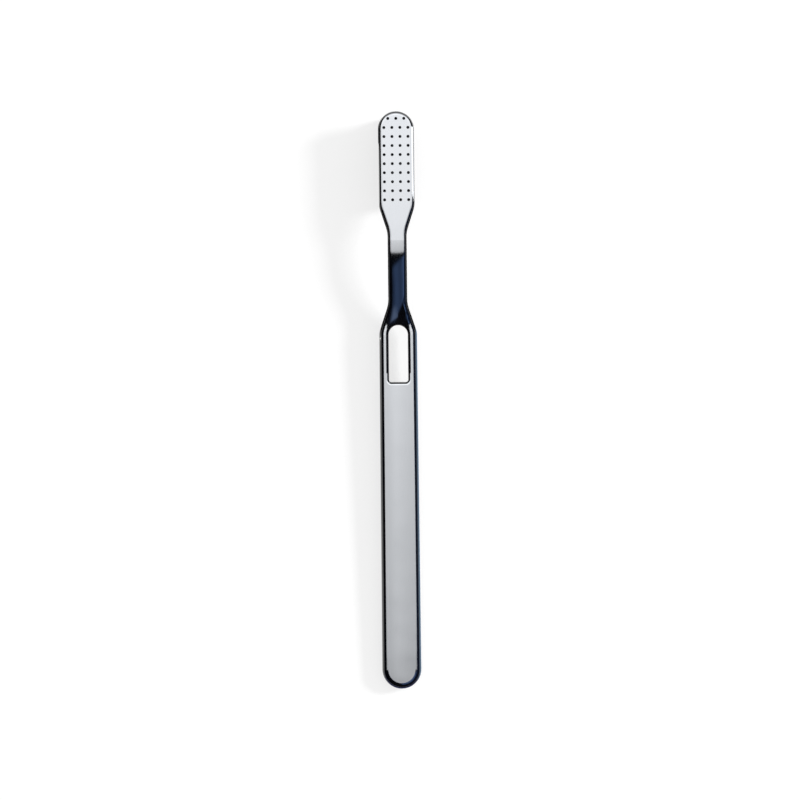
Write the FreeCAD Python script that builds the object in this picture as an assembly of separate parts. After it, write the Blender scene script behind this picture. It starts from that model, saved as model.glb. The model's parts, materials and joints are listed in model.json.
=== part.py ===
import FreeCAD
import Part
import math
import os
from FreeCAD import Rotation, Vector

# A manual toothbrush, in millimetres: one moulded body with a hanging slot and a cranked neck, and
# tufts folded round flat wire anchors in the sockets of the head.
# It is drawn straight, with Y from the butt to the toe, X across, and Z away from the bristles with
# zero on the back of the handle. The last step lays it on its heel tufts and its butt.

# Body in plan
overall_length = 190.0
butt_width = 12.9
handle_width = 12.4
neck_width = 6.2
head_width = 11.7
head_length = 31.2
head_taper_length = 8.4
neck_length = 23.5
shoulder_length = 9.2
shoulder_corner_radius = 6.0
neck_corner_radius = 10.0
head_corner_radius = 9.0

# Body in side view
handle_thickness = 5.4
head_thickness = 4.2
crank_rise = 5.0
crank_setback = 0.5
crank_margin = 2.6
front_lead = 2.5
hollow_radius = 18.0
crest_radius = 60.0

# Rounded edges: the handle, the neck with the back of the head, the face of the head, the slot
handle_edge_radius = 2.0
neck_edge_radius = 1.3
face_edge_radius = 0.6
slot_edge_radius = 1.0

# Hanging slot, arched towards the head and square towards the butt
slot_width = 6.3
slot_length = 18.7
slot_reach = 2.2
slot_corner_radius = 0.8

# Tuft sockets, each with a vent that opens on the back of the head
toe_row_tufts = 3
row_tufts = 4
tuft_rows = 10
toe_margin = 2.45
row_pitch = 2.95
column_pitch = 2.62
socket_diameter = 1.7
socket_depth = 2.9
vent_diameter = 1.0

# Tufts and the wire anchors that hold them
bristle_length = 11.0
tuft_tip_diameter = 2.1
tuft_clearance = 0.03
anchor_thickness = 0.25
anchor_height = 1.2
anchor_seat = 0.6
anchor_clearance = 0.02

# The many small round holes and tufts are drawn with flat sides, a corner towards the butt
socket_sides = 8
vent_sides = 12

# Every cut runs past its faces by this much
cut_overrun = 5.0

# A radius takes at most these shares of the wall or run that it rounds
rail_edge_share = 0.66
rail_slot_share = 0.32
half_edge_share = 0.45
bend_fit_share = 0.95

# Stations along the brush, from the butt
head_start = overall_length - head_length
neck_end = head_start - head_taper_length
neck_start = neck_end - neck_length
shoulder_start = neck_start - shoulder_length
crank_start = shoulder_start + crank_setback
front_crank_start = crank_start - front_lead
crank_end = neck_end - crank_margin
slot_end = shoulder_start + slot_reach
slot_start = slot_end - slot_length
toe_row = overall_length - toe_margin
heel_row = toe_row - (tuft_rows - 1) * row_pitch

# Heights in the drawn position
head_face = crank_rise - head_thickness
socket_floor = head_face + socket_depth
tuft_tip = head_face - bristle_length

# Radii limited by their walls
rail_width = (handle_width - slot_width) / 2
handle_edge = min(handle_edge_radius, handle_thickness * half_edge_share, rail_width * rail_edge_share)
neck_edge = min(neck_edge_radius, head_thickness * half_edge_share, neck_width * half_edge_share)
face_edge = min(face_edge_radius, neck_edge)
slot_edge = min(slot_edge_radius, rail_width * rail_slot_share)


def line(start, end):
    return Part.LineSegment(start, end).toShape()


def arc_between(centre, radius, first_angle, last_angle, plane):
    """An arc in the plane given by two unit vectors, with angles from the first to the second."""
    along, across = plane

    def point(angle):
        return centre + along * (radius * math.cos(angle)) + across * (radius * math.sin(angle))

    return Part.Arc(point(first_angle), point((first_angle + last_angle) / 2), point(last_angle)).toShape()


def rounded_outline(corners):
    """A closed wire through corners given as x, y and radius, each rounded by a tangent arc."""
    arcs = []
    for index, (x, y, radius) in enumerate(corners):
        corner = Vector(x, y, 0)
        before = Vector(*corners[index - 1][:2], 0) - corner
        after = Vector(*corners[(index + 1) % len(corners)][:2], 0) - corner
        before.normalize()
        after.normalize()
        half_angle = before.getAngle(after) / 2
        reach = radius / math.tan(half_angle)
        inward = (before + after).normalize()
        middle = corner + inward * (radius / math.sin(half_angle) - radius)
        arcs.append((corner + before * reach, middle, corner + after * reach))

    edges = []
    for index, (start, middle, end) in enumerate(arcs):
        following = arcs[(index + 1) % len(arcs)][0]
        edges.append(Part.Arc(start, middle, end).toShape())
        if not end.isEqual(following, Part.Precision.confusion()):
            edges.append(line(end, following))
    return Part.Wire(edges)


def full_round_radius(half_width, side_angle):
    """The radius with which two corner arcs meet in the middle of an end."""
    return half_width * math.tan((math.pi / 2 - side_angle) / 2)


def plan_outline():
    """The brush from above: a tapered handle, shoulders, a slim neck and a head with a round toe."""
    butt = butt_width / 2
    handle = handle_width / 2
    neck = neck_width / 2
    head = head_width / 2
    butt_radius = full_round_radius(butt, math.atan2(butt - handle, shoulder_start))
    right_side = [
        (butt, 0, butt_radius),
        (handle, shoulder_start, shoulder_corner_radius),
        (neck, neck_start, neck_corner_radius),
        (neck, neck_end, head_corner_radius),
        (head, head_start, head_corner_radius),
        (head, overall_length, full_round_radius(head, 0)),
    ]
    left_side = [(-x, y, radius) for x, y, radius in reversed(right_side)]
    return rounded_outline(right_side + left_side)


def crank(start, end, foot, rise, foot_radius, top_radius):
    """Two tangent arcs and the ramp between them, up from one level to another."""
    span = end - start
    largest = (span ** 2 + rise ** 2) / (2 * rise)
    fit = min(1, bend_fit_share * largest / (foot_radius + top_radius))
    foot_radius *= fit
    top_radius *= fit
    both = foot_radius + top_radius
    angle = math.asin(both / math.hypot(span, both - rise)) - math.atan2(both - rise, span)

    forward = Vector(0, 1, 0)
    up = Vector(0, 0, 1)
    foot_arc = arc_between(Vector(0, start, foot + foot_radius), foot_radius, 0, angle, (-up, forward))
    top_centre = Vector(0, end, foot + rise - top_radius)
    top_arc = arc_between(top_centre, top_radius, angle, 0, (up, -forward))
    ramp = line(foot_arc.Vertexes[-1].Point, top_arc.Vertexes[0].Point)
    return [foot_arc, ramp, top_arc]


def side_profile():
    """The brush from the side: a flat handle, the cranked neck and a head parallel to the handle."""
    back = crank(crank_start, crank_end, 0, crank_rise, hollow_radius, crest_radius)
    front_radii = (hollow_radius + handle_thickness, crest_radius - head_thickness)
    front_rise = head_face + handle_thickness
    front = crank(front_crank_start, crank_end, -handle_thickness, front_rise, *front_radii)

    butt_back = Vector(0, -cut_overrun, 0)
    butt_front = Vector(0, -cut_overrun, -handle_thickness)
    toe_back = Vector(0, overall_length + cut_overrun, crank_rise)
    toe_front = Vector(0, overall_length + cut_overrun, head_face)
    back_run = [line(butt_back, back[0].Vertexes[0].Point), *back]
    back_run.append(line(back[-1].Vertexes[-1].Point, toe_back))
    front_run = [line(butt_front, front[0].Vertexes[0].Point), *front]
    front_run.append(line(front[-1].Vertexes[-1].Point, toe_front))
    ends = [line(toe_back, toe_front), line(butt_front, butt_back)]
    return Part.Wire(Part.__sortEdges__(back_run + front_run + ends))


def blank():
    """What the plan and the side view have in common, with sharp edges."""
    top = crank_rise + cut_overrun
    bottom = -handle_thickness - cut_overrun
    plan = Part.Face(plan_outline()).extrude(Vector(0, 0, top - bottom))
    plan.translate(Vector(0, 0, bottom))
    reach = butt_width + head_width
    side = Part.Face(side_profile()).extrude(Vector(2 * reach, 0, 0))
    side.translate(Vector(-reach, 0, 0))
    return plan.common(side).Solids[0]


def middle_of(edge):
    return edge.valueAt((edge.FirstParameter + edge.LastParameter) / 2)


def is_rim(edge):
    """True for edges along the outline, false for upright edges and seams across the brush."""
    chord = edge.Vertexes[-1].Point - edge.Vertexes[0].Point
    level = abs(chord.z) < Part.Precision.confusion()
    straight_across = level and abs(chord.y) < Part.Precision.confusion()
    upright = math.hypot(chord.x, chord.y) < Part.Precision.confusion()
    return not (straight_across or upright)


def rim_radius(edge):
    """The radius of a rim edge, or None in the shoulders and the taper, where the radii blend."""
    middle = middle_of(edge)
    if middle.y < min(front_crank_start, shoulder_start):
        return handle_edge
    if neck_start < middle.y < neck_end:
        return neck_edge
    if middle.y > head_start:
        on_back = middle.z > crank_rise - head_thickness / 2
        return neck_edge if on_back else face_edge
    return None


def round_rims(solid):
    """Round both rims of the blank, full on the handle and finer on the neck and the head."""
    document = FreeCAD.newDocument("toothbrush")
    sharp = document.addObject("Part::Feature", "sharp_blank")
    sharp.Shape = solid
    rounded = document.addObject("Part::Fillet", "rounded_rims")
    rounded.Base = sharp
    edges = []
    for number, edge in enumerate(solid.Edges, start=1):
        if is_rim(edge) and rim_radius(edge):
            edges.append((number, rim_radius(edge), rim_radius(edge)))
    rounded.Edges = edges
    document.recompute()
    return rounded.Shape.Solids[0]


def slot_outline():
    half = slot_width / 2
    corners = [
        (half, slot_start, slot_corner_radius),
        (half, slot_end, full_round_radius(half, 0)),
        (-half, slot_end, full_round_radius(half, 0)),
        (-half, slot_start, slot_corner_radius),
    ]
    return rounded_outline(corners)


def cut_slot(solid):
    """Cut the hanging slot through the handle and round its two rims."""
    bottom = -handle_thickness - cut_overrun
    slot = Part.Face(slot_outline()).extrude(Vector(0, 0, crank_rise + cut_overrun - bottom))
    slot.translate(Vector(0, 0, bottom))
    opened = solid.cut(slot).Solids[0]

    space = slot.BoundBox
    space.enlarge(Part.Precision.confusion() + slot_edge / 2)
    rims = [edge for edge in opened.Edges if space.isInside(edge.BoundBox)]
    rims = [edge for edge in rims if abs(edge.tangentAt(edge.FirstParameter).z) < math.cos(math.pi / 4)]
    return opened.makeFillet(slot_edge, rims)


def tuft_places():
    """Row number, column number and centre of every tuft, counted from the toe."""
    for row in range(tuft_rows):
        count = row_tufts if row else toe_row_tufts
        for column in range(count):
            x = (column - (count - 1) / 2) * column_pitch
            yield row + 1, column + 1, Vector(x, toe_row - row * row_pitch, 0)


def small_ring(place, diameter, height, sides=socket_sides):
    """A many-sided ring at a height on a tuft's axis."""
    corners = []
    for side in range(sides):
        angle = 2 * math.pi * side / sides
        spoke = Vector(math.sin(angle), -math.cos(angle), 0)
        corners.append(place + spoke * (diameter / 2) + Vector(0, 0, height))
    return Part.makePolygon(corners + corners[:1])


def small_column(*rings):
    """A solid with flat sides from ring to ring."""
    faces = [Part.Face(rings[0]), Part.Face(rings[-1])]
    for lower, upper in zip(rings, rings[1:]):
        for low_edge, high_edge in zip(lower.Edges, upper.Edges):
            low = [vertex.Point for vertex in low_edge.Vertexes]
            high = [vertex.Point for vertex in high_edge.Vertexes]
            faces.append(Part.Face(Part.makePolygon([*low, *reversed(high), low[0]])))
    shell = Part.makeShell(faces)
    shell.sewShape()
    return Part.makeSolid(shell)


def stepped_hole(place):
    """A socket from the bristle side and the vent that goes on to the back."""
    mouth = small_ring(place, socket_diameter, head_face - cut_overrun)
    socket = small_column(mouth, small_ring(place, socket_diameter, socket_floor))
    inlet = small_ring(place, vent_diameter, head_face, vent_sides)
    vent = small_column(inlet, small_ring(place, vent_diameter, crank_rise + cut_overrun, vent_sides))
    return socket.fuse(vent)


def anchor(place):
    """A flat wire wedged across its socket, along the brush."""
    half_thickness = anchor_thickness / 2
    corner_loss = half_thickness * math.tan(math.pi / socket_sides)
    half_width = socket_diameter / 2 - corner_loss - anchor_clearance
    corner = place + Vector(-half_thickness, -half_width, socket_floor - anchor_seat - anchor_height)
    return Part.makeBox(anchor_thickness, 2 * half_width, anchor_height, corner)


def tuft(place):
    """A bundle folded round its anchor on the socket floor, spreading towards its trimmed tip."""
    root_diameter = socket_diameter - 2 * tuft_clearance
    fold = small_ring(place, root_diameter, socket_floor)
    root = small_ring(place, root_diameter, head_face)
    bundle = small_column(fold, root, small_ring(place, tuft_tip_diameter, tuft_tip))

    window_width = anchor_thickness + 2 * anchor_clearance
    window_height = anchor_height + 2 * anchor_clearance
    bottom = socket_floor - anchor_seat - anchor_height - anchor_clearance
    corner = place + Vector(-window_width / 2, -socket_diameter, bottom)
    return bundle.cut(Part.makeBox(window_width, 2 * socket_diameter, window_height, corner))


def brush_body():
    """The moulding: handle, neck and head in one piece."""
    holes = Part.makeCompound([stepped_hole(place) for row, column, place in tuft_places()])
    return cut_slot(round_rims(blank())).cut(holes).Solids[0]


def resting_angle():
    """The tilt at which the rounded butt and the heel tufts touch one level floor."""
    drop = handle_edge - handle_thickness - tuft_tip
    run = heel_row - tuft_tip_diameter / 2 - handle_edge
    return math.acos(handle_edge / math.hypot(drop, run)) - math.atan2(run, drop)


def lay_down(shapes, body):
    """Tilt all the pieces and move them so that the body's length is centred over the origin."""
    angle = resting_angle()
    for shape in shapes:
        shape.rotate(Vector(0, 0, 0), Vector(1, 0, 0), math.degrees(angle))
    butt_centre = Vector(0, handle_edge, handle_edge - handle_thickness)
    floor = Rotation(Vector(1, 0, 0), math.degrees(angle)).multVec(butt_centre).z - handle_edge
    length = body.optimalBoundingBox(False)
    for shape in shapes:
        shape.translate(Vector(0, -(length.YMin + length.YMax) / 2, -floor))


def build():
    body = brush_body()
    nodes = {"brush_body": body}
    anchors = {}
    for row, column, place in tuft_places():
        nodes[f"tuft_r{row:02d}_c{column}"] = tuft(place)
        anchors.setdefault(f"anchors_r{row:02d}", []).append(anchor(place))
    for name, solids in anchors.items():
        nodes[name] = Part.makeCompound(solids)
    lay_down(nodes.values(), body)
    return nodes


os.makedirs("parts", exist_ok=True)
for name, shape in build().items():
    shape.exportStep(f"parts/{name}.step")
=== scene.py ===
# %% [markdown]
# # A black toothbrush, dressed for its picture
# The brush comes as a packed model: one moulded body, 39 tufts and the wire anchors that hold them.
# That model is a fixed frame. Nothing in it is moved or reshaped here. This lesson gives the body and
# the anchors their finishes, and makes every tuft again from single nylon strands.

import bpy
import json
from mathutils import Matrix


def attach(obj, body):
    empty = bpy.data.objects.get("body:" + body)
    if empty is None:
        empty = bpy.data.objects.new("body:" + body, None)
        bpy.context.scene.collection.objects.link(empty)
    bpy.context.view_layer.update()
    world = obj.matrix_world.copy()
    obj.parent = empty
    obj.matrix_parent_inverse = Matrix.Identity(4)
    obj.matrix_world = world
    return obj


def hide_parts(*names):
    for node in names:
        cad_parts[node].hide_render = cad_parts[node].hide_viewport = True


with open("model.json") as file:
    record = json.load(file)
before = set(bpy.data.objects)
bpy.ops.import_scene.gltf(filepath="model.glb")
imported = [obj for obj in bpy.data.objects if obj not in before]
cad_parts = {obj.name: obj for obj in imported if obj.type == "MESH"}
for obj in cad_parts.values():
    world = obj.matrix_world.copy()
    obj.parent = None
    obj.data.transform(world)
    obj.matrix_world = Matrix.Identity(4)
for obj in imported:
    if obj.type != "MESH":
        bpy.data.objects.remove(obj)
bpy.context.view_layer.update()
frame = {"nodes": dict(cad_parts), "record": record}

# %% [markdown]
# ## The camera
# The brush is seen straight from above, almost upright in a square picture, with its head leaning a
# little to the left. A long lens far away keeps the sides of the brush parallel. The lens follows from
# two sizes that are easy to picture: how far off the camera hangs and how wide a field it sees.

# %% Hang the camera over the middle of the brush
import bpy
from math import cos, pi, radians, sin, tan
from mathutils import Matrix, Vector

CAMERA_HEIGHT = 1.3
FIELD_WIDTH = 0.263
FIELD_LEVEL = 0.008
CAMERA_SIDESTEP = Vector((0.00036, 0.00033, 0.0))
LEAN = radians(0.64)

scene = bpy.context.scene
scene.view_settings.view_transform = "Standard"


def add_object(name, data):
    made = bpy.data.objects.new(name, data)
    scene.collection.objects.link(made)
    return made


camera = add_object("overhead_camera", bpy.data.cameras.new("overhead_camera"))
camera.data.lens = camera.data.sensor_width * CAMERA_HEIGHT / FIELD_WIDTH
camera.location = CAMERA_SIDESTEP + Vector((0.0, 0.0, FIELD_LEVEL + CAMERA_HEIGHT))
camera.rotation_euler = (0.0, 0.0, -LEAN)
scene.camera = camera
print("lens in millimetres:", round(camera.data.lens, 1))

# %% [markdown]
# ## Writing shaders as sums
# A finish is a network of nodes. Adding nodes one by one hides what the network means, so a small class
# wraps a socket: a sum or a product of two wrapped sockets adds the Math node that works it out. All
# other nodes come from one method, which sets a node's options first and its sockets afterwards.

# %% Wrap a socket so that it can be used in a sum


class Signal:
    """The output of a node, which can be added to, multiplied and fed to other nodes."""

    def __init__(self, tree, socket=None):
        self.tree = tree
        self.socket = socket

    def node(self, kind, settings=None, sockets=None, output=0):
        made = self.tree.nodes.new(kind)
        for name, value in (settings or {}).items():
            if name == "stops":
                lay_stops(made.color_ramp, value)
            else:
                setattr(made, name, value)
        for name, value in (sockets or {}).items():
            if isinstance(value, Signal):
                self.tree.links.new(value.socket, made.inputs[name])
            else:
                made.inputs[name].default_value = value
        return Signal(self.tree, made.outputs[output] if made.outputs else None)

    def math(self, operation, first, second):
        return self.node("ShaderNodeMath", {"operation": operation}, {0: first, 1: second})

    def clamped(self):
        return self.math("MINIMUM", self.math("MAXIMUM", self, 0.0), 1.0)

    def __add__(self, other):
        return self.math("ADD", self, other)

    def __sub__(self, other):
        return self.math("SUBTRACT", self, other)

    def __rsub__(self, other):
        return self.math("SUBTRACT", other, self)

    def __mul__(self, other):
        return self.math("MULTIPLY", self, other)

    __radd__ = __add__
    __rmul__ = __mul__


def lay_stops(ramp, stops):
    """Give a colour ramp grey stops from pairs of place and level."""
    while len(ramp.elements) < len(stops):
        ramp.elements.new(1.0)
    for element, (place, level) in zip(ramp.elements, stops):
        element.position = place
        element.color = (level, level, level, 1.0)


def empty_tree(owner):
    owner.use_nodes = True
    owner.node_tree.nodes.clear()
    return Signal(owner.node_tree)


def close_tree(nodes, shader):
    nodes.node("ShaderNodeOutputMaterial", None, {"Surface": shader})


def object_place(nodes):
    return nodes.node("ShaderNodeTexCoord", None, None, "Object")


def object_axes(nodes):
    """Where a point lies: to the right, towards the head and up."""
    split = nodes.node("ShaderNodeSeparateXYZ", None, {0: object_place(nodes)})
    return [Signal(nodes.tree, part) for part in split.socket.node.outputs]


def blend_colours(nodes, share, first, second):
    sockets = {"Fac": share, "Color1": first, "Color2": second}
    return nodes.node("ShaderNodeMixRGB", None, sockets)


print("sums that add nodes:", [name for name in vars(Signal) if name.startswith("__r")])

# %% [markdown]
# ## The floor
# The brush lies on a white sheet, which is pure white in the picture apart from a soft grey shadow. A
# lamp strong enough for that would wash out the brush. So to the camera, and in reflections, part of the
# sheet's white is its own glow, and the rest is plain paper that keeps the shadow.

# %% Lay the white sheet
import bmesh

SHEET_HALF_WIDTH = 4.0
WHITE = (1.0, 1.0, 1.0, 1.0)
PAPER = (0.97, 0.97, 0.97, 1.0)
GLOW_SHARE = 0.68


def mesh_object(name, shape, material, smooth=False):
    """Turn a bmesh into an object at the origin, with one finish."""
    mesh = bpy.data.meshes.new(name)
    for face in shape.faces:
        face.smooth = smooth
    shape.to_mesh(mesh)
    shape.free()
    mesh.materials.append(material)
    return add_object(name, mesh)


def seen_directly(nodes):
    """One for rays from the camera, from gloss and through clear things, zero for rays of plain light."""
    seen = nodes.node("ShaderNodeLightPath")
    paths = {path.name: Signal(nodes.tree, path) for path in seen.socket.node.outputs}
    looks = paths["Is Camera Ray"] + paths["Is Glossy Ray"] + paths["Is Transmission Ray"]
    return looks.math("MINIMUM", looks, 1.0)


def white_sheet_finish():
    material = bpy.data.materials.new("white_sheet")
    nodes = empty_tree(material)
    paper = nodes.node("ShaderNodeBsdfDiffuse", None, {"Color": PAPER})
    glow = nodes.node("ShaderNodeEmission", None, {"Color": WHITE, "Strength": 1.0})
    share = seen_directly(nodes) * GLOW_SHARE
    close_tree(nodes, nodes.node("ShaderNodeMixShader", None, {0: share, 1: paper, 2: glow}))
    return material


sheet_shape = bmesh.new()
bmesh.ops.create_grid(sheet_shape, x_segments=1, y_segments=1, size=SHEET_HALF_WIDTH)
floor = mesh_object("white_sheet", sheet_shape, white_sheet_finish())
print("sheet width in metres:", 2 * SHEET_HALF_WIDTH)

# %% [markdown]
# ## Soft light
# Two things light the brush: an even pale surrounding, and one large soft box low on the right, a
# little towards the head. The box throws the long soft shadow to the left. Together they are set so
# that a colour comes out about as it is written. To the camera the surrounding is white, as the sheet.

# %% Set the surrounding and the soft box
SURROUND_LEVEL = 0.74
BOX_DISTANCE = 2.0
BOX_ELEVATION = radians(30.5)
BOX_AZIMUTH = radians(16)
BOX_LENGTH = 0.4
BOX_HEIGHT = 0.42
BOX_RADIANCE = 75.0

world = bpy.data.worlds.new("pale_surrounding")
scene.world = world
sky = empty_tree(world)
level = SURROUND_LEVEL + seen_directly(sky) * (1 - SURROUND_LEVEL)
pale = sky.node("ShaderNodeBackground", None, {"Color": WHITE, "Strength": level})
sky.node("ShaderNodeOutputWorld", None, {"Surface": pale})

soft_box = add_object("soft_box", bpy.data.lights.new("soft_box", "AREA"))
soft_box.data.shape = "RECTANGLE"
soft_box.data.size = BOX_LENGTH
soft_box.data.size_y = BOX_HEIGHT
soft_box.data.energy = BOX_RADIANCE * pi * BOX_LENGTH * BOX_HEIGHT
towards_box = Vector((
    cos(BOX_ELEVATION) * cos(BOX_AZIMUTH),
    cos(BOX_ELEVATION) * sin(BOX_AZIMUTH),
    sin(BOX_ELEVATION),
))
soft_box.location = towards_box * BOX_DISTANCE
soft_box.visible_glossy = False
soft_box.rotation_mode = "QUATERNION"
soft_box.rotation_quaternion = towards_box.to_track_quat("Z", "Y")
box_place = [round(value, 2) for value in soft_box.location]
print("soft box at:", box_place, "watts:", round(soft_box.data.energy, 1))

# %% [markdown]
# ## What the gloss sees
# Black gloss has hardly any colour of its own: it shows what stands round it. Its flat faces show a
# bright card overhead, its rounded edges a dark room, and the sloping neck a dim blue panel. These
# pieces are only seen in reflections, so they add no light to the rest. Their glow fades with the angle
# from straight up: towards the butt, to the right, or along a slant between the two.

# %% Make finishes that glow
TENT_BLACK = (0.004, 0.004, 0.009, 1.0)
TENT_BLUE = (0.035, 0.085, 0.25, 1.0)
TENT_RISE = ((0.25, 0.0), (0.45, 1.0))
TENT_RADIUS = 14.0
TENT_SEGMENTS = 32
TENT_RINGS = 16


def level_by_angle(nodes, heading, fade):
    """Levels that follow the angle from straight up in one heading, from pairs of degrees and level."""
    sideways, forward, height = object_axes(nodes)
    along = sideways * heading[0] + forward * heading[1]
    first, last = fade[0][0], fade[-1][0]
    angle = along.math("ARCTAN2", along, height) * (180 / pi)
    stops = [((degrees - first) / (last - first), level) for degrees, level in fade]
    share = (angle - first) * (1 / (last - first))
    return nodes.node("ShaderNodeValToRGB", {"stops": stops}, {0: share})


def glow_finish(name, tint, strength, fades=()):
    material = bpy.data.materials.new(name)
    nodes = empty_tree(material)
    for heading, fade in fades:
        strength = level_by_angle(nodes, heading, fade) * strength
    close_tree(nodes, nodes.node("ShaderNodeEmission", None, {"Color": tint, "Strength": strength}))
    return material


def tent_finish():
    """Black, but deep blue high up on the right."""
    material = bpy.data.materials.new("dark_tent")
    nodes = empty_tree(material)
    sideways, _, height = object_axes(nodes)
    side = sideways * (1 / TENT_RADIUS)
    high = nodes.node("ShaderNodeValToRGB", {"stops": TENT_RISE}, {0: height * (1 / TENT_RADIUS)})
    tint = blend_colours(nodes, side * high, TENT_BLACK, TENT_BLUE)
    close_tree(nodes, nodes.node("ShaderNodeEmission", None, {"Color": tint, "Strength": 1.0}))
    return material


def only_in_gloss(thing):
    thing.visible_camera = False
    thing.visible_diffuse = False
    thing.visible_transmission = False
    thing.visible_volume_scatter = False
    thing.visible_shadow = False


tent_shape = bmesh.new()
bmesh.ops.create_uvsphere(tent_shape, u_segments=TENT_SEGMENTS, v_segments=TENT_RINGS, radius=TENT_RADIUS)
dark_tent = mesh_object("dark_tent", tent_shape, tent_finish())
only_in_gloss(dark_tent)
print("tent width in metres:", 2 * TENT_RADIUS)

# %% [markdown]
# The card and the panel are parts of one wide arch, so that every angle has its own place on them. The
# card is brightest just beyond straight up and ends sharply towards the butt, which draws the edge at the
# crest of the neck. It dims towards the head, so that the back stays grey when seen from the butt's side.

# %% Bend the bright card and the blue panel over the brush
ARCH_RADIUS = 10.0
ARCH_STEPS = 24
TO_BUTT = (0.0, -1.0)
TO_RIGHT = (1.0, 0.0)
CARD_TINT = (0.93, 0.957, 1.0, 1.0)
CARD_RADIANCE = 13.7
CARD_REACH = ((-80, 9.2), (-38, 42))
CARD_TO_BUTT = (
    (-80, 0.12), (-65, 0.2), (-50, 0.33), (-36, 0.85), (-28, 1.0), (-12, 1.0), (-0.3, 0.785),
    (3.1, 0.64), (4.8, 0.55), (6.5, 0.51), (7.9, 0.43), (8.6, 0.40), (9.2, 0.0),
)
CARD_TO_RIGHT = ((-38, 0.85), (-4, 0.88), (-1.4, 1.0), (4, 0.87), (42, 0.85))
PANEL_TINT = (0.26, 0.46, 1.0, 1.0)
PANEL_RADIANCE = 1.8
PANEL_REACH = ((11.5, 36), (-2.3, 34))
PANEL_SLANT = (2.2, -1.0)
PANEL_ALONG_SLANT = ((13.9, 0.0), (16.8, 1.0), (60, 1.0))
PANEL_TO_RIGHT = (
    (-2.3, 0.0), (-1.5, 0.33), (-0.9, 0.61), (-0.3, 0.61), (0.7, 0.40),
    (1.3, 0.29), (1.9, 0.72), (26, 1.0), (34, 0.0),
)


def arched_card(name, reach, material):
    """A card bent over the brush, between angles from straight up to the butt and to the right."""
    end, start = (radians(degrees) for degrees in reach[0])
    sides = [radians(degrees) for degrees in reach[1]]
    shape = bmesh.new()
    edge_place = Vector((0.0, -sin(start), cos(start)))
    ends = [shape.verts.new((edge_place + Vector((tan(side), 0.0, 0.0))) * ARCH_RADIUS) for side in sides]
    geometry = ends + [shape.edges.new(ends)]
    turn = end - start
    bmesh.ops.spin(shape, geom=geometry, axis=(1, 0, 0), cent=(0, 0, 0), angle=turn, steps=ARCH_STEPS)
    card = mesh_object(name, shape, material)
    only_in_gloss(card)
    return card


card_fades = ((TO_BUTT, CARD_TO_BUTT), (TO_RIGHT, CARD_TO_RIGHT))
card_finish = glow_finish("bright_card", CARD_TINT, CARD_RADIANCE, card_fades)
bright_card = arched_card("bright_card", CARD_REACH, card_finish)
panel_fades = ((PANEL_SLANT, PANEL_ALONG_SLANT), (TO_RIGHT, PANEL_TO_RIGHT))
panel_finish = glow_finish("blue_panel", PANEL_TINT, PANEL_RADIANCE, panel_fades)
blue_panel = arched_card("blue_panel", PANEL_REACH, panel_finish)
for card in (bright_card, blue_panel):
    print(card.name, "faces:", len(card.data.polygons))

# %% [markdown]
# Small cards stand close to the brush, as they do on a table in a studio. A white strip beside the head
# draws one thin line of light on its right edge. A black flag over the slot keeps the bright card out of
# the slot's rounded rim, so that the rim reads as a dark line. Above the slot's arch, a second flag
# darkens a wedge on the right and a pale blue card lights the left. Their edges are feathered.

# %% Stand small cards close to the brush
STRIP_PLACE = (0.056, 0.0827, 0.0365)
STRIP_HALF_LENGTH = 0.0153
STRIP_HALF_HEIGHT = 0.0355
STRIP_RADIANCE = 14.0
PATCH_TINT = (0.40, 0.58, 1.0, 1.0)
# An edge: its place along the brush, its slant and its width, negative where the card ends to the butt.
FLAG_EDGES = ((0.0285, 0.35, 0.004),)
WEDGE_EDGES = ((0.0282, 2.65, 0.0022),)
PATCH_EDGES = (
    (0.0322, 0.0, 0.0020),
    (0.0310, -3.0, 0.0060),
    (0.0394, 4.8, 0.0048),
    (0.0266, 0.7, -0.0008),
)
# A card: its place, half sizes, tint, radiance and edges.
FEATHERED_CARDS = {
    "black_flag": ((0.0, 0.0195, 0.0112), (0.0036, 0.0105), TENT_BLACK, 1.0, FLAG_EDGES),
    "wedge_flag": ((0.0008, 0.0298, 0.0126), (0.0019, 0.0056), TENT_BLACK, 1.0, WEDGE_EDGES),
    "pale_patch": ((-0.0018, 0.0283, 0.0109), (0.0018, 0.0039), PATCH_TINT, 1.65, PATCH_EDGES),
}


def small_card(half_sizes, turn, place):
    """A flat card of one face, turned about the brush's length and put in its place."""
    shape = bmesh.new()
    bmesh.ops.create_grid(shape, x_segments=1, y_segments=1, size=1.0)
    bmesh.ops.scale(shape, verts=shape.verts, vec=(*half_sizes, 1.0))
    bmesh.ops.rotate(shape, verts=shape.verts, matrix=Matrix.Rotation(turn, 3, "Y"))
    bmesh.ops.translate(shape, verts=shape.verts, vec=place)
    return shape


def feathered_finish(name, tint, radiance, edges):
    """A glow that ends in slanting feathered edges, each with its place, slant and width."""
    material = bpy.data.materials.new(name)
    nodes = empty_tree(material)
    sideways, forward, _ = object_axes(nodes)
    cover = 1.0
    for edge, slant, width in edges:
        cover = ((edge + sideways * slant - forward) * (1 / width)).clamped() * cover
    clear = nodes.node("ShaderNodeBsdfTransparent")
    glow = nodes.node("ShaderNodeEmission", None, {"Color": tint, "Strength": radiance})
    close_tree(nodes, nodes.node("ShaderNodeMixShader", None, {0: cover, 1: clear, 2: glow}))
    return material


strip_shape = small_card((STRIP_HALF_HEIGHT, STRIP_HALF_LENGTH), pi / 2, STRIP_PLACE)
strip_finish = glow_finish("side_strip", CARD_TINT, STRIP_RADIANCE)
only_in_gloss(mesh_object("side_strip", strip_shape, strip_finish))
for name, (place, half_sizes, tint, radiance, edges) in FEATHERED_CARDS.items():
    card_shape = small_card(half_sizes, 0.0, place)
    only_in_gloss(mesh_object(name, card_shape, feathered_finish(name, tint, radiance, edges)))
print("small cards:", 1 + len(FEATHERED_CARDS))

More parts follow.
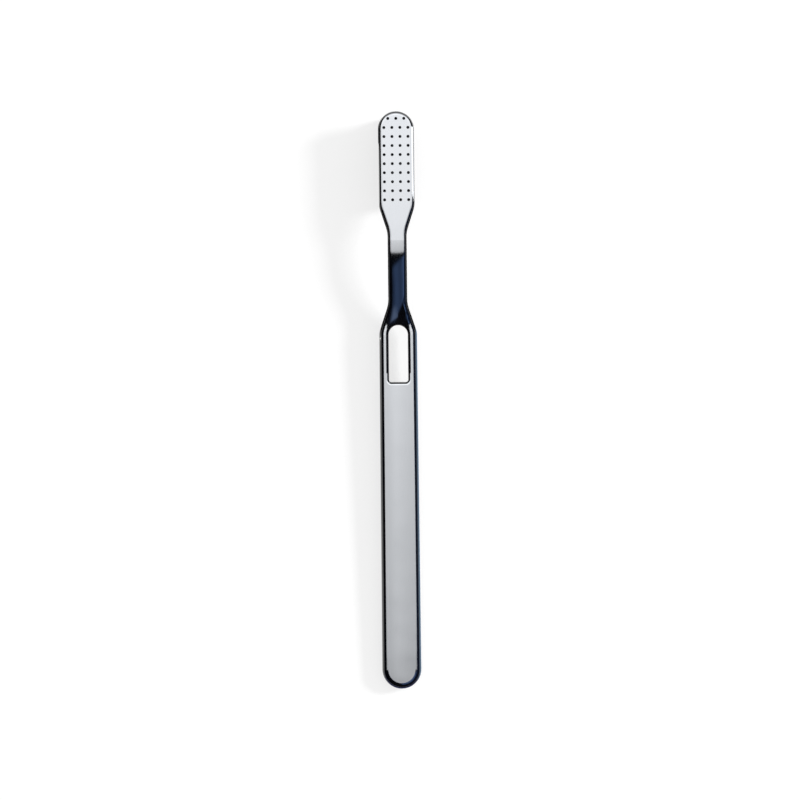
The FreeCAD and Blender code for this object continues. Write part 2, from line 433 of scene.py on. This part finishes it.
# %% [markdown]
# The outer edges of the brush look down at the sheet and would show it white all round. Thin boards on
# the sheet change that, again only in reflections. Black ones darken the sides of the neck, the right of
# the taper and the left of the toe. White ones light the tip and the left of the head, and a narrow one
# makes a small glint at the left shoulder. Blue ones tint the right side and the butt.

# %% Lay the boards on the sheet
BOARD_LEVEL = 0.0004
PALE_BLUE = (0.50, 0.72, 1.0, 1.0)
DEEP_BLUE = (0.12, 0.15, 0.40, 1.0)
# A board: its place on the sheet, half sizes, tint and radiance.
BOARDS = {
    "neck_board": ((0.0, 0.042), (0.06, 0.0165), TENT_BLACK, 1.0),
    "taper_board": ((0.054, 0.0624), (0.046, 0.0039), TENT_BLACK, 1.0),
    "tip_board": ((0.0, 0.133), (0.030, 0.035), WHITE, 2.2),
    "toe_board": ((-0.054, 0.0914), (0.046, 0.0060), TENT_BLACK, 1.0),
    "head_board": ((-0.054, 0.0747), (0.046, 0.0107), WHITE, 2.5),
    "glint_board": ((-0.036, 0.0206), (0.024, 0.0002), WHITE, 6.0),
    "side_board": ((0.058, -0.035), (0.0505, 0.06), PALE_BLUE, 1.45),
    "butt_board": ((0.0, -0.124), (0.06, 0.028), DEEP_BLUE, 1.0),
}

for name, (place, half_sizes, tint, radiance) in BOARDS.items():
    board_shape = small_card(half_sizes, 0.0, (*place, BOARD_LEVEL))
    only_in_gloss(mesh_object(name, board_shape, glow_finish(name, tint, radiance)))
print("boards on the sheet:", len(BOARDS))

# %% [markdown]
# ## The moulded body
# The body is hard black plastic straight from a polished mould. Even with a mirror gloss, such a surface
# is never quite true: the back of the handle and the neck is crowned by less than a tenth of a
# millimetre, and it carries a slow waviness, faint flow lines along the brush and thin smears from
# handling. All of them are too slight to model, so they go into the bump and the roughness.

# %% Finish the body in polished black
BODY_DEEP = (0.0012, 0.0014, 0.0022, 1.0)
BODY_WARM = (0.0030, 0.0030, 0.0038, 1.0)
GLOSS_ROUGHNESS = 0.05
SMEAR_ROUGHNESS = 0.05
FLOW_ROUGHNESS = 0.03
SMEARS_PER_METRE = 70.0
WAVES_PER_METRE = 80.0
FLOW_STRETCH = (1400.0, 35.0, 1400.0)
WAVE_HEIGHT = 0.00003
GRAIN_SHARE = 0.03
CROWN_PER_METRE = 4.5
CROWN_END = 0.056
CROWN_RUN = 0.012
SMEAR_STOPS = ((0.45, 0.0), (0.75, 1.0))
SMEAR_DETAIL = 5.0
SMEAR_RAGGEDNESS = 0.6
WAVE_DETAIL = 1.0
FINE_DETAIL = 2.0
BODY_IOR = 1.8


def principled(nodes, sockets):
    return nodes.node("ShaderNodeBsdfPrincipled", None, sockets)


def noise(nodes, place, scale, detail, raggedness=0.5):
    sockets = {"Vector": place, "Scale": scale, "Detail": detail, "Roughness": raggedness}
    return nodes.node("ShaderNodeTexNoise", None, sockets)


def polished_black():
    material = bpy.data.materials.new("polished_black")
    nodes = empty_tree(material)
    place = object_place(nodes)
    clouds = noise(nodes, place, SMEARS_PER_METRE, SMEAR_DETAIL, SMEAR_RAGGEDNESS)
    smears = nodes.node("ShaderNodeValToRGB", {"stops": SMEAR_STOPS}, {0: clouds})
    stretched = nodes.node("ShaderNodeMapping", None, {"Vector": place, "Scale": FLOW_STRETCH})
    flow = noise(nodes, stretched, 1.0, FINE_DETAIL)
    waves = noise(nodes, place, WAVES_PER_METRE, WAVE_DETAIL)
    sideways, forward, _ = object_axes(nodes)
    fading = ((CROWN_END - forward) * (1 / CROWN_RUN)).clamped()
    crown = sideways * sideways * fading * (CROWN_PER_METRE / WAVE_HEIGHT)
    bump = nodes.node("ShaderNodeBump", None, {
        "Strength": 1.0,
        "Distance": WAVE_HEIGHT,
        "Height": waves + flow * GRAIN_SHARE - crown,
    })
    close_tree(nodes, principled(nodes, {
        "Base Color": blend_colours(nodes, smears, BODY_DEEP, BODY_WARM),
        "Roughness": GLOSS_ROUGHNESS + smears * SMEAR_ROUGHNESS + flow * FLOW_ROUGHNESS,
        "Normal": bump,
        "IOR": BODY_IOR,
    }))
    return material


def dress(node_name, material):
    slots = frame["nodes"][node_name].material_slots
    for slot in slots:
        slot.material = material


dress("brush_body", polished_black())
print("body slots:", len(frame["nodes"]["brush_body"].material_slots))

# %% [markdown]
# ## The anchors
# Each tuft is folded over a short flat wire that is pressed into its socket. The wire is brass, rolled
# flat, so it has fine lines along its length.

# %% Finish the anchors in rolled brass
BRASS_LIGHT = (0.78, 0.56, 0.24, 1.0)
BRASS_DARK = (0.52, 0.34, 0.12, 1.0)
BRASS_LINES = (9000.0, 250.0, 9000.0)
BRASS_ROUGHNESS = 0.22
LINE_ROUGHNESS = 0.25


def rolled_brass():
    material = bpy.data.materials.new("rolled_brass")
    nodes = empty_tree(material)
    place = object_place(nodes)
    stretched = nodes.node("ShaderNodeMapping", None, {"Vector": place, "Scale": BRASS_LINES})
    lines = noise(nodes, stretched, 1.0, FINE_DETAIL)
    close_tree(nodes, principled(nodes, {
        "Base Color": blend_colours(nodes, lines, BRASS_LIGHT, BRASS_DARK),
        "Roughness": BRASS_ROUGHNESS + lines * LINE_ROUGHNESS,
        "Metallic": 1.0,
    }))
    return material


brass = rolled_brass()
anchor_rows = sorted(name for name in frame["nodes"] if name.startswith("anchors_"))
for name in anchor_rows:
    dress(name, brass)
print("anchor rows:", len(anchor_rows))

# %% [markdown]
# ## Nylon for the bristles
# The bristles are charcoal nylon. No two strands are quite alike, so each strand carries a shade of its
# own in an attribute on its faces.

# %% Finish the strands in charcoal nylon
NYLON_DARK = (0.016, 0.016, 0.019, 1.0)
NYLON_LIGHT = (0.055, 0.055, 0.062, 1.0)
NYLON_GRAIN_PER_METRE = 6000.0
STRAND_SHARE = 0.8
NYLON_GRAIN_SHARE = 0.2
NYLON_ROUGHNESS = 0.42
NYLON_GRAIN_ROUGHNESS = 0.16
NYLON_IOR = 1.53
NYLON_SPECULAR = 0.15
SHADE_NAME = "strand_shade"


def charcoal_nylon():
    material = bpy.data.materials.new("charcoal_nylon")
    nodes = empty_tree(material)
    place = object_place(nodes)
    shade = nodes.node("ShaderNodeAttribute", {"attribute_name": SHADE_NAME}, None, "Fac")
    grain = noise(nodes, place, NYLON_GRAIN_PER_METRE, FINE_DETAIL)
    lightness = shade * STRAND_SHARE + grain * NYLON_GRAIN_SHARE
    close_tree(nodes, principled(nodes, {
        "Base Color": blend_colours(nodes, lightness, NYLON_DARK, NYLON_LIGHT),
        "Roughness": NYLON_ROUGHNESS + grain * NYLON_GRAIN_ROUGHNESS,
        "IOR": NYLON_IOR,
        "Specular IOR Level": NYLON_SPECULAR,
    }))
    return material


nylon = charcoal_nylon()
print("nylon nodes:", len(nylon.node_tree.nodes))

# %% [markdown]
# ## The tufts
# A tuft is a bundle of strands folded in half over its anchor, so every strand has two legs and a bend
# at the bottom of the socket. One strand starts as a small hexagon at its tip. Extruding carries it up
# the socket, a spin of half a turn lays it over the wire, and extruding again brings it back out. The
# legs lean apart outside the socket, each by a slightly different amount.

# %% Read where the tufts stand
import random

STRAND_RADIUS = 0.000095

handle_back = next(mount for mount in frame["record"]["mounts"] if mount["name"] == "handle_back")
up = Vector(handle_back["axis"])
across = Vector((1.0, 0.0, 0.0))
upright = Matrix((across, up.cross(across), up)).transposed().to_4x4()
tuft_names = sorted(name for name in frame["nodes"] if name.startswith("tuft_"))


def corners_of(node_name):
    return [vertex.co for vertex in frame["nodes"][node_name].data.vertices]


def tip_centre(node_name):
    """The middle of the lowest ring of corners of a tuft, measured along its length."""
    lowest = min(corner.dot(up) for corner in corners_of(node_name))
    ring = [corner for corner in corners_of(node_name) if corner.dot(up) - lowest < STRAND_RADIUS]
    low = Vector([min(corner[axis] for corner in ring) for axis in range(3)])
    high = Vector([max(corner[axis] for corner in ring) for axis in range(3)])
    return (low + high) / 2


print("tufts:", len(tuft_names), "brush axis:", [round(value, 4) for value in up])

# %% Pack the strands on both sides of the wire
STRAND_GAP = 0.000002
WIRE_HALF_THICKNESS = 0.000125
SOCKET_RADIUS = 0.00075


def strand_places():
    """Offsets across the wire and along it, in rows that nest like stacked pipes."""
    step = 2 * (STRAND_RADIUS + STRAND_GAP)
    room = SOCKET_RADIUS - STRAND_RADIUS
    offset = WIRE_HALF_THICKNESS + STRAND_RADIUS + STRAND_GAP
    shift = 0.0
    while offset < room:
        reach = (room ** 2 - offset ** 2) ** 0.5
        count = int(room / step)
        rows = [number * step + shift for number in range(-count, count + 1)]
        for along in rows:
            if abs(along) <= reach:
                yield offset, along
        offset += step * cos(pi / 6)
        shift = step / 2 - shift


folded_strands = list(strand_places())
print("folded strands in a tuft:", len(folded_strands), "free ends:", 2 * len(folded_strands))

# %% Model one folded strand
BRISTLE_LENGTH = 0.011
TIP_SPREAD = 0.3
TIP_SWAY = 0.00006
TRIM_SPREAD = 0.00008
STRAND_SIDES = 6
FOLD_STEPS = 4
TIP_ROUNDING = 0.00006
TIP_WIDTH_SHARE = 0.55
SAMPLE_FOLD_HEIGHT = BRISTLE_LENGTH / 4
down = Vector((0.0, 0.0, -1.0))


def extrude_ring(shape, ring, move, width_share=1.0):
    """Extrude a ring of edges by a move, widen or narrow it, and return the new ring."""
    made = bmesh.ops.extrude_edge_only(shape, edges=ring)["geom"]
    corners = [item for item in made if isinstance(item, bmesh.types.BMVert)]
    bmesh.ops.translate(shape, verts=corners, vec=move)
    centre = sum((corner.co for corner in corners), Vector()) / len(corners)
    wide = (width_share, width_share, 1.0)
    bmesh.ops.scale(shape, verts=corners, vec=wide, space=Matrix.Translation(-centre))
    return [item for item in made if isinstance(item, bmesh.types.BMEdge)]


def run_to_tip(shape, ring, foot, draws):
    """Carry a leg from the mouth of the socket to its trimmed and rounded end."""
    sway = Vector((draws.uniform(-1, 1), draws.uniform(-1, 1), 0.0)) * TIP_SWAY
    length = BRISTLE_LENGTH - TIP_ROUNDING - draws.random() * TRIM_SPREAD
    end = extrude_ring(shape, ring, foot * TIP_SPREAD + sway + down * length)
    tip = extrude_ring(shape, end, down * TIP_ROUNDING, TIP_WIDTH_SHARE)
    bmesh.ops.contextual_create(shape, geom=tip)


def add_strand(shape, offset, along, fold_height, draws):
    """One strand: up a leg, half a turn over the wire, and down the other leg."""
    near_foot = Vector((-offset, along, 0.0))
    far_foot = Vector((offset, along, 0.0))
    circle = bmesh.ops.create_circle(shape, segments=STRAND_SIDES, radius=STRAND_RADIUS)["verts"]
    bmesh.ops.translate(shape, verts=circle, vec=near_foot)
    mouth = list({edge for corner in circle for edge in corner.link_edges})
    run_to_tip(shape, mouth, near_foot, draws)
    bend = extrude_ring(shape, mouth, -down * fold_height)
    middle = -down * fold_height
    turn = bmesh.ops.spin(shape, geom=bend, axis=(0, 1, 0), cent=middle, angle=pi, steps=FOLD_STEPS)
    bend = [item for item in turn["geom_last"] if isinstance(item, bmesh.types.BMEdge)]
    mouth = extrude_ring(shape, bend, down * fold_height)
    run_to_tip(shape, mouth, far_foot, draws)


sample = bmesh.new()
add_strand(sample, *folded_strands[0], SAMPLE_FOLD_HEIGHT, random.Random(0))
open_edges = sum(not edge.is_manifold for edge in sample.edges)
print("faces on a strand:", len(sample.faces), "open edges:", open_edges)
sample.free()

# %% Bundle the strands into tufts
FOLD_SINK = 0.00007
STRAND_SEED = 39


def bundle(tuft_name, draws):
    """All strands of one tuft, folded over the wire of its row and stood in its socket."""
    row = tuft_name.split("_")[1]
    mouth = tip_centre(tuft_name) + up * BRISTLE_LENGTH
    wire_top = max(corner.dot(up) for corner in corners_of(f"anchors_{row}"))
    fold_height = wire_top - mouth.dot(up) - FOLD_SINK
    shape = bmesh.new()
    shade = shape.faces.layers.float.new(SHADE_NAME)
    for offset, along in folded_strands:
        tone = draws.random()
        add_strand(shape, offset, along, fold_height, draws)
        for face in shape.faces:
            if not face.tag:
                face[shade] = tone
                face.tag = True
    bmesh.ops.recalc_face_normals(shape, faces=shape.faces)
    bmesh.ops.transform(shape, matrix=Matrix.Translation(mouth) @ upright, verts=shape.verts)
    return mesh_object(tuft_name.replace("tuft", "bristles"), shape, nylon, smooth=True)


draws = random.Random(STRAND_SEED)
for tuft_name in tuft_names:
    bristles = bundle(tuft_name, draws)
    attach(bristles, "root")
    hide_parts(tuft_name)
print("last bundle:", bristles.name, "faces:", len(bristles.data.polygons))

# %% [markdown]
# ## Sizes

# %% Import json
import json
